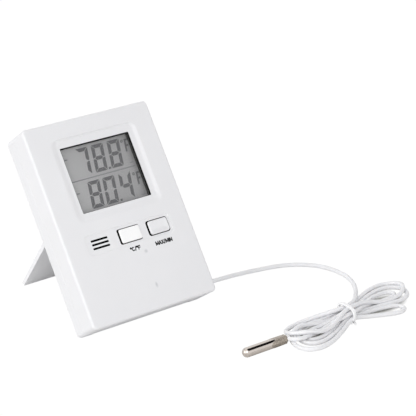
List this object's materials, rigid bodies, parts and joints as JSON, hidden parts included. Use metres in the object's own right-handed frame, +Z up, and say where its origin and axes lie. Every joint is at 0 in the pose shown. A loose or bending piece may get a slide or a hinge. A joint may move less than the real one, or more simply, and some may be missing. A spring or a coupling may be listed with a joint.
{
  "type": "maximum minimum thermometer",
  "caption": "Small white digital maximum minimum thermometer on a fold-out rear leg, with a grey display, push buttons and a wired steel probe on a tied cord",
  "frame": {"origin": "on the table, under the middle of the case and its opened leg", "axes": "+Z up, +X to the right across the front, +Y from the front towards the leg"},
  "size_m": [0.1728, 0.1568, 0.0995],
  "materials": {
    "case_plastic": "fine satin white",
    "key_plastic": "gloss white",
    "clear_pane": "clear",
    "black_plastic": "matt black",
    "lcd_glass": "grey liquid crystal",
    "reflector_foil": "satin",
    "contact_rubber": "matt",
    "board_laminate": "solder mask",
    "black_epoxy": "semi-gloss",
    "metal_can": "plated",
    "amber_ceramic": "satin",
    "cell_jacket": "printed sleeve",
    "plated_steel": "zinc plated",
    "red_wire": "satin",
    "black_wire": "satin",
    "cord_jacket": "satin white",
    "tie_plastic": "satin white",
    "probe_steel": "polished stainless steel"
  },
  "bodies": {
    "case": {"front_cover": "case_plastic", "rear_cover": "case_plastic", "display_window": "clear_pane", "lcd_frame": "black_plastic", "lcd_panel": "lcd_glass", "lcd_reflector": "reflector_foil", "lcd_contact_strip": "contact_rubber", "circuit_board": "board_laminate", "chip_blob": "black_epoxy", "crystal": "metal_can", "capacitor_a": "amber_ceramic", "capacitor_b": "amber_ceramic", "resistor_a": "black_epoxy", "room_thermistor": "amber_ceramic", "unit_switch": "black_plastic", "max_min_switch": "black_plastic", "battery_cell": "cell_jacket", "battery_spring": "plated_steel", "battery_contact": "plated_steel", "battery_wire_red": "red_wire", "battery_wire_black": "black_wire", "case_screw_1": "plated_steel", "case_screw_2": "plated_steel", "case_screw_3": "plated_steel", "case_screw_4": "plated_steel", "board_screw_1": "plated_steel", "board_screw_2": "plated_steel", "board_screw_3": "plated_steel", "board_screw_4": "plated_steel", "probe_cable_inner": "cord_jacket", "cable_stop": "tie_plastic", "probe_lead_a": "red_wire", "probe_lead_b": "cord_jacket", "probe_cable": "cord_jacket", "probe_cable_hank": "cord_jacket", "hank_tie": "tie_plastic", "probe_tube": "probe_steel", "probe_seal": "cord_jacket", "probe_thermistor": "amber_ceramic"},
    "leg": {"stand_leg": "case_plastic"},
    "door": {"battery_door": "case_plastic"},
    "unit_key": {"unit_button": "key_plastic", "unit_switch_plunger": "contact_rubber"},
    "max_min_key": {"max_min_button": "key_plastic", "max_min_switch_plunger": "contact_rubber"}
  },
  "joints": [
    {"name": "leg_hinge", "type": "hinge", "parent": "case", "child": "leg", "pos_m": [0, 0.00681, 0.04874], "axis": [1, 0, 0], "range_deg": [-72.07, 0]},
    {"name": "door_slide", "type": "slide", "parent": "case", "child": "door", "axis": [0, 0.5906, 0.807], "range_m": [0, 0.021]},
    {"name": "unit_press", "type": "slide", "parent": "case", "child": "unit_key", "axis": [0, 0.807, -0.5906], "range_m": [0, 0.0005], "stiffness_N_per_m": 800},
    {"name": "max_min_press", "type": "slide", "parent": "case", "child": "max_min_key", "axis": [0, 0.807, -0.5906], "range_m": [0, 0.0005], "stiffness_N_per_m": 800}
  ]
}
